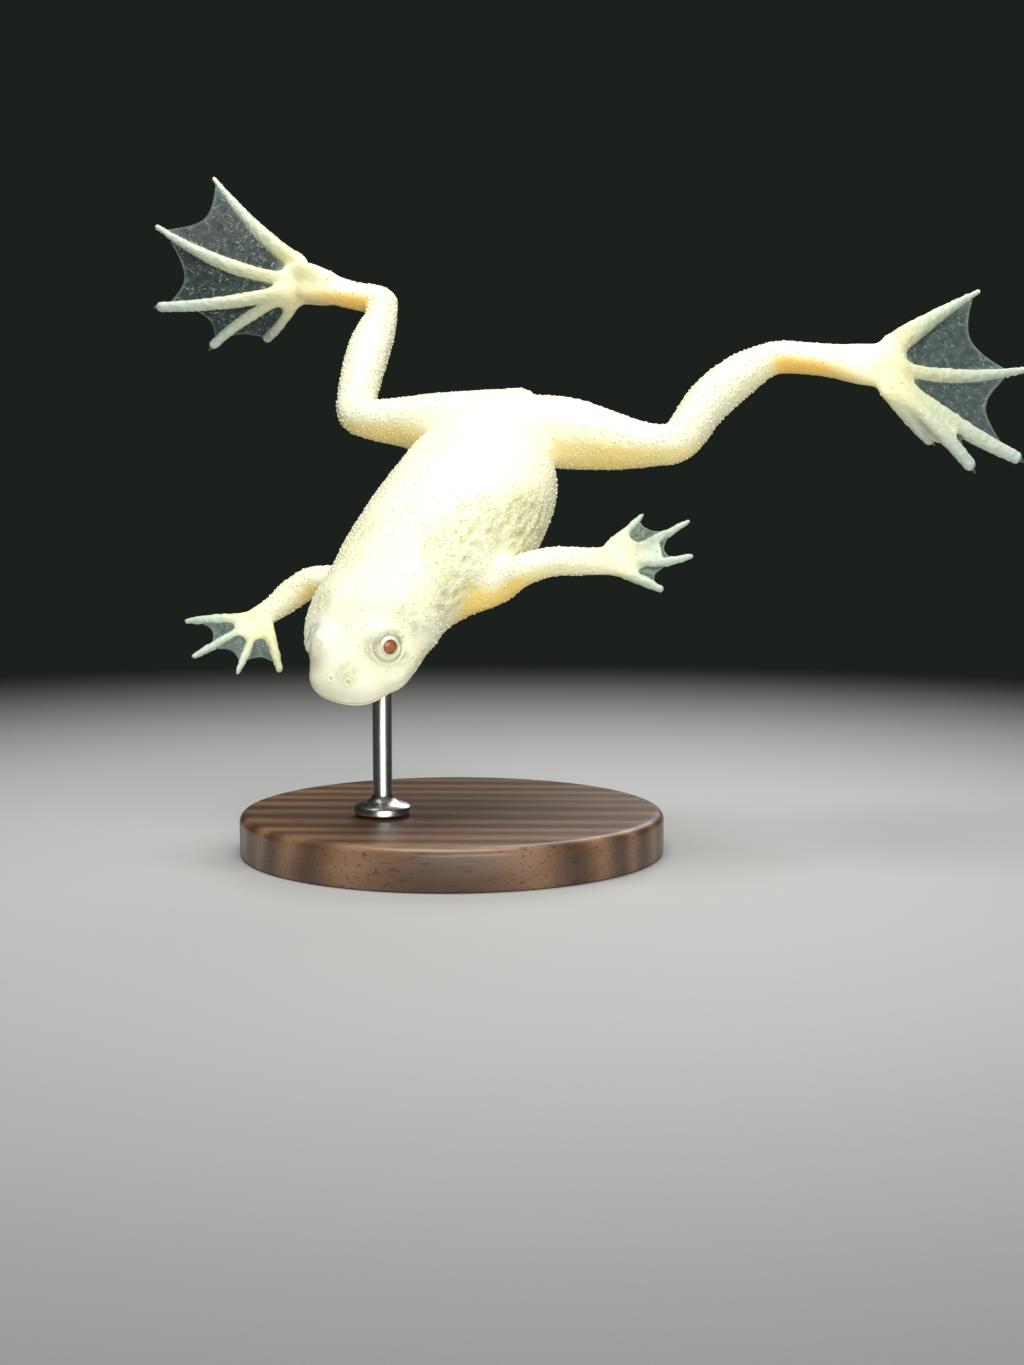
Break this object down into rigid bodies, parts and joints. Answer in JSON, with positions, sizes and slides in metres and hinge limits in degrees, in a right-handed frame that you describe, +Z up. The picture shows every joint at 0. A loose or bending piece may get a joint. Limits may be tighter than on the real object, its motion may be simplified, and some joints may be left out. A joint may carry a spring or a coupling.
{
  "type": "african dwarf frog",
  "caption": "Life-size still model of an African dwarf frog diving head down with its webbed feet spread, held by a rod over a round wooden base.",
  "frame": {"origin": "centre of the stand base's underside, on the surface that the part rests on", "axes": "+Z up from the base; +X towards the frog's left foot, so the spread legs run along X; the viewer who sees the frog's back stands on the -Y side"},
  "size_m": [0.0773, 0.0418, 0.0599],
  "materials": {
    "skin": "moist, finely granular cream skin",
    "web": "thin grey translucent membrane over pale toes",
    "eye": "wet, glossy",
    "wood": "dark walnut, satin",
    "steel": "brushed"
  },
  "bodies": {
    "root": {"head": "skin", "torso": "skin", "upper_arm_left": "skin", "forearm_left": "skin", "upper_arm_right": "skin", "forearm_right": "skin", "thigh_left": "skin", "shank_left": "skin", "tarsus_left": "skin", "thigh_right": "skin", "shank_right": "skin", "tarsus_right": "skin", "foot_left": "web", "foot_right": "web", "hand_left": "web", "hand_right": "web", "eye_left": "eye", "eye_right": "eye", "stand_base": "wood", "stand_rod": "steel"}
  },
  "joints": []
}
